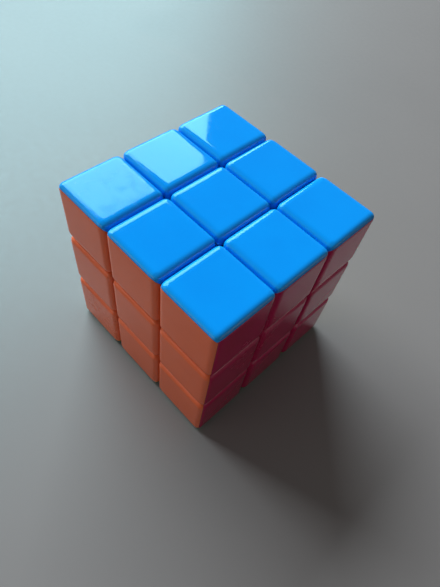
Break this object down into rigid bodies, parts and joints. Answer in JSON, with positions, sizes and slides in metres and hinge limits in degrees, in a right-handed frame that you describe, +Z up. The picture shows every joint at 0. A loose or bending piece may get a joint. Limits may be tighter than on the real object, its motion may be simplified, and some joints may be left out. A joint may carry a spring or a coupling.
{
  "type": "cube twisty puzzle",
  "caption": "Stickerless three-layer cube twisty puzzle whose faces turn about a sprung core, with clip-in centre caps over the tension screws.",
  "frame": {"origin": "middle of the bottom face, on the surface that the cube stands on", "axes": "+Z up out of the blue face, -Y out of the orange face, +X out of the red face"},
  "size_m": [0.057, 0.057, 0.057],
  "materials": {
    "blue_plastic": "polished moulded plastic, coloured right through",
    "green_plastic": "polished moulded plastic, coloured right through",
    "orange_plastic": "polished moulded plastic, coloured right through",
    "yellow_plastic": "polished moulded plastic, coloured right through",
    "red_plastic": "polished moulded plastic, coloured right through",
    "white_plastic": "polished moulded plastic, coloured right through",
    "inner_plastic": "satin moulded plastic, greased",
    "steel": "zinc-plated"
  },
  "bodies": {
    "core": {"core": "inner_plastic", "screw_up": "steel", "washer_up": "steel", "spring_up": "steel", "screw_down": "steel", "washer_down": "steel", "spring_down": "steel", "screw_front": "steel", "washer_front": "steel", "spring_front": "steel", "screw_back": "steel", "washer_back": "steel", "spring_back": "steel", "screw_right": "steel", "washer_right": "steel", "spring_right": "steel", "screw_left": "steel", "washer_left": "steel", "spring_left": "steel"},
    "centre_up": {"centre_base_up": "blue_plastic"},
    "centre_down": {"centre_base_down": "green_plastic"},
    "centre_front": {"centre_base_front": "orange_plastic"},
    "centre_back": {"centre_base_back": "yellow_plastic"},
    "centre_right": {"centre_base_right": "red_plastic"},
    "centre_left": {"centre_base_left": "white_plastic"},
    "edge_up_front": {"edge_up_front": "blue_plastic"},
    "edge_up_back": {"edge_up_back": "blue_plastic"},
    "edge_down_front": {"edge_down_front": "green_plastic"},
    "edge_down_back": {"edge_down_back": "green_plastic"},
    "edge_up_right": {"edge_up_right": "blue_plastic"},
    "edge_down_right": {"edge_down_right": "green_plastic"},
    "edge_up_left": {"edge_up_left": "blue_plastic"},
    "edge_down_left": {"edge_down_left": "green_plastic"},
    "edge_front_right": {"edge_front_right": "orange_plastic"},
    "edge_front_left": {"edge_front_left": "orange_plastic"},
    "edge_back_right": {"edge_back_right": "yellow_plastic"},
    "edge_back_left": {"edge_back_left": "yellow_plastic"},
    "corner_up_front_right": {"corner_up_front_right": "blue_plastic", "corner_foot_up_front_right": "inner_plastic"},
    "corner_up_front_left": {"corner_up_front_left": "blue_plastic", "corner_foot_up_front_left": "inner_plastic"},
    "corner_up_back_right": {"corner_up_back_right": "blue_plastic", "corner_foot_up_back_right": "inner_plastic"},
    "corner_up_back_left": {"corner_up_back_left": "blue_plastic", "corner_foot_up_back_left": "inner_plastic"},
    "corner_down_front_right": {"corner_down_front_right": "green_plastic", "corner_foot_down_front_right": "inner_plastic"},
    "corner_down_front_left": {"corner_down_front_left": "green_plastic", "corner_foot_down_front_left": "inner_plastic"},
    "corner_down_back_right": {"corner_down_back_right": "green_plastic", "corner_foot_down_back_right": "inner_plastic"},
    "corner_down_back_left": {"corner_down_back_left": "green_plastic", "corner_foot_down_back_left": "inner_plastic"},
    "cap_up": {"centre_cap_up": "blue_plastic"},
    "cap_down": {"centre_cap_down": "green_plastic"},
    "cap_front": {"centre_cap_front": "orange_plastic"},
    "cap_back": {"centre_cap_back": "yellow_plastic"},
    "cap_right": {"centre_cap_right": "red_plastic"},
    "cap_left": {"centre_cap_left": "white_plastic"}
  },
  "joints": [
    {"name": "turn_up", "type": "hinge", "parent": "core", "child": "centre_up", "pos_m": [0, 0, 0.0285], "axis": [0, 0, 1], "continuous": true},
    {"name": "turn_down", "type": "hinge", "parent": "core", "child": "centre_down", "pos_m": [0, 0, 0.0285], "axis": [0, 0, -1], "continuous": true},
    {"name": "turn_front", "type": "hinge", "parent": "core", "child": "centre_front", "pos_m": [0, 0, 0.0285], "axis": [0, -1, 0], "continuous": true},
    {"name": "turn_back", "type": "hinge", "parent": "core", "child": "centre_back", "pos_m": [0, 0, 0.0285], "axis": [0, 1, 0], "continuous": true},
    {"name": "turn_right", "type": "hinge", "parent": "core", "child": "centre_right", "pos_m": [0, 0, 0.0285], "axis": [1, 0, 0], "continuous": true},
    {"name": "turn_left", "type": "hinge", "parent": "core", "child": "centre_left", "pos_m": [0, 0, 0.0285], "axis": [-1, 0, 0], "continuous": true},
    {"name": "edge_up_front_with_front", "type": "hinge", "parent": "centre_up", "child": "edge_up_front", "pos_m": [0, 0, 0.0285], "axis": [0, -1, 0], "continuous": true},
    {"name": "edge_up_back_with_back", "type": "hinge", "parent": "centre_up", "child": "edge_up_back", "pos_m": [0, 0, 0.0285], "axis": [0, 1, 0], "continuous": true},
    {"name": "edge_down_front_with_front", "type": "hinge", "parent": "centre_down", "child": "edge_down_front", "pos_m": [0, 0, 0.0285], "axis": [0, -1, 0], "continuous": true},
    {"name": "edge_down_back_with_back", "type": "hinge", "parent": "centre_down", "child": "edge_down_back", "pos_m": [0, 0, 0.0285], "axis": [0, 1, 0], "continuous": true},
    {"name": "edge_up_right_with_up", "type": "hinge", "parent": "centre_right", "child": "edge_up_right", "pos_m": [0, 0, 0.0285], "axis": [0, 0, 1], "continuous": true},
    {"name": "edge_down_right_with_down", "type": "hinge", "parent": "centre_right", "child": "edge_down_right", "pos_m": [0, 0, 0.0285], "axis": [0, 0, -1], "continuous": true},
    {"name": "edge_up_left_with_up", "type": "hinge", "parent": "centre_left", "child": "edge_up_left", "pos_m": [0, 0, 0.0285], "axis": [0, 0, 1], "continuous": true},
    {"name": "edge_down_left_with_down", "type": "hinge", "parent": "centre_left", "child": "edge_down_left", "pos_m": [0, 0, 0.0285], "axis": [0, 0, -1], "continuous": true},
    {"name": "edge_front_right_with_right", "type": "hinge", "parent": "centre_front", "child": "edge_front_right", "pos_m": [0, 0, 0.0285], "axis": [1, 0, 0], "continuous": true},
    {"name": "edge_front_left_with_left", "type": "hinge", "parent": "centre_front", "child": "edge_front_left", "pos_m": [0, 0, 0.0285], "axis": [-1, 0, 0], "continuous": true},
    {"name": "edge_back_right_with_right", "type": "hinge", "parent": "centre_back", "child": "edge_back_right", "pos_m": [0, 0, 0.0285], "axis": [1, 0, 0], "continuous": true},
    {"name": "edge_back_left_with_left", "type": "hinge", "parent": "centre_back", "child": "edge_back_left", "pos_m": [0, 0, 0.0285], "axis": [-1, 0, 0], "continuous": true},
    {"name": "corner_up_front_right_with_up", "type": "hinge", "parent": "edge_front_right", "child": "corner_up_front_right", "pos_m": [0, 0, 0.0285], "axis": [0, 0, 1], "continuous": true},
    {"name": "corner_up_front_left_with_front", "type": "hinge", "parent": "edge_up_left", "child": "corner_up_front_left", "pos_m": [0, 0, 0.0285], "axis": [0, -1, 0], "continuous": true},
    {"name": "corner_up_back_right_with_back", "type": "hinge", "parent": "edge_up_right", "child": "corner_up_back_right", "pos_m": [0, 0, 0.0285], "axis": [0, 1, 0], "continuous": true},
    {"name": "corner_up_back_left_with_up", "type": "hinge", "parent": "edge_back_left", "child": "corner_up_back_left", "pos_m": [0, 0, 0.0285], "axis": [0, 0, 1], "continuous": true},
    {"name": "corner_down_front_right_with_front", "type": "hinge", "parent": "edge_down_right", "child": "corner_down_front_right", "pos_m": [0, 0, 0.0285], "axis": [0, -1, 0], "continuous": true},
    {"name": "corner_down_front_left_with_down", "type": "hinge", "parent": "edge_front_left", "child": "corner_down_front_left", "pos_m": [0, 0, 0.0285], "axis": [0, 0, -1], "continuous": true},
    {"name": "corner_down_back_right_with_down", "type": "hinge", "parent": "edge_back_right", "child": "corner_down_back_right", "pos_m": [0, 0, 0.0285], "axis": [0, 0, -1], "continuous": true},
    {"name": "corner_down_back_left_with_back", "type": "hinge", "parent": "edge_down_left", "child": "corner_down_back_left", "pos_m": [0, 0, 0.0285], "axis": [0, 1, 0], "continuous": true},
    {"name": "lift_cap_up", "type": "slide", "parent": "centre_up", "child": "cap_up", "axis": [0, 0, 1], "range_m": [0, 0.008]},
    {"name": "lift_cap_down", "type": "slide", "parent": "centre_down", "child": "cap_down", "axis": [0, 0, -1], "range_m": [0, 0.008]},
    {"name": "lift_cap_front", "type": "slide", "parent": "centre_front", "child": "cap_front", "axis": [0, -1, 0], "range_m": [0, 0.008]},
    {"name": "lift_cap_back", "type": "slide", "parent": "centre_back", "child": "cap_back", "axis": [0, 1, 0], "range_m": [0, 0.008]},
    {"name": "lift_cap_right", "type": "slide", "parent": "centre_right", "child": "cap_right", "axis": [1, 0, 0], "range_m": [0, 0.008]},
    {"name": "lift_cap_left", "type": "slide", "parent": "centre_left", "child": "cap_left", "axis": [-1, 0, 0], "range_m": [0, 0.008]}
  ],
  "couplings": [
    {"joint": "edge_up_front_with_front", "follows": "turn_front", "ratio": 1},
    {"joint": "edge_up_back_with_back", "follows": "turn_back", "ratio": 1},
    {"joint": "edge_down_front_with_front", "follows": "turn_front", "ratio": 1},
    {"joint": "edge_down_back_with_back", "follows": "turn_back", "ratio": 1},
    {"joint": "edge_up_right_with_up", "follows": "turn_up", "ratio": 1},
    {"joint": "edge_down_right_with_down", "follows": "turn_down", "ratio": 1},
    {"joint": "edge_up_left_with_up", "follows": "turn_up", "ratio": 1},
    {"joint": "edge_down_left_with_down", "follows": "turn_down", "ratio": 1},
    {"joint": "edge_front_right_with_right", "follows": "turn_right", "ratio": 1},
    {"joint": "edge_front_left_with_left", "follows": "turn_left", "ratio": 1},
    {"joint": "edge_back_right_with_right", "follows": "turn_right", "ratio": 1},
    {"joint": "edge_back_left_with_left", "follows": "turn_left", "ratio": 1},
    {"joint": "corner_up_front_right_with_up", "follows": "turn_up", "ratio": 1},
    {"joint": "corner_up_front_left_with_front", "follows": "turn_front", "ratio": 1},
    {"joint": "corner_up_back_right_with_back", "follows": "turn_back", "ratio": 1},
    {"joint": "corner_up_back_left_with_up", "follows": "turn_up", "ratio": 1},
    {"joint": "corner_down_front_right_with_front", "follows": "turn_front", "ratio": 1},
    {"joint": "corner_down_front_left_with_down", "follows": "turn_down", "ratio": 1},
    {"joint": "corner_down_back_right_with_down", "follows": "turn_down", "ratio": 1},
    {"joint": "corner_down_back_left_with_back", "follows": "turn_back", "ratio": 1}
  ]
}
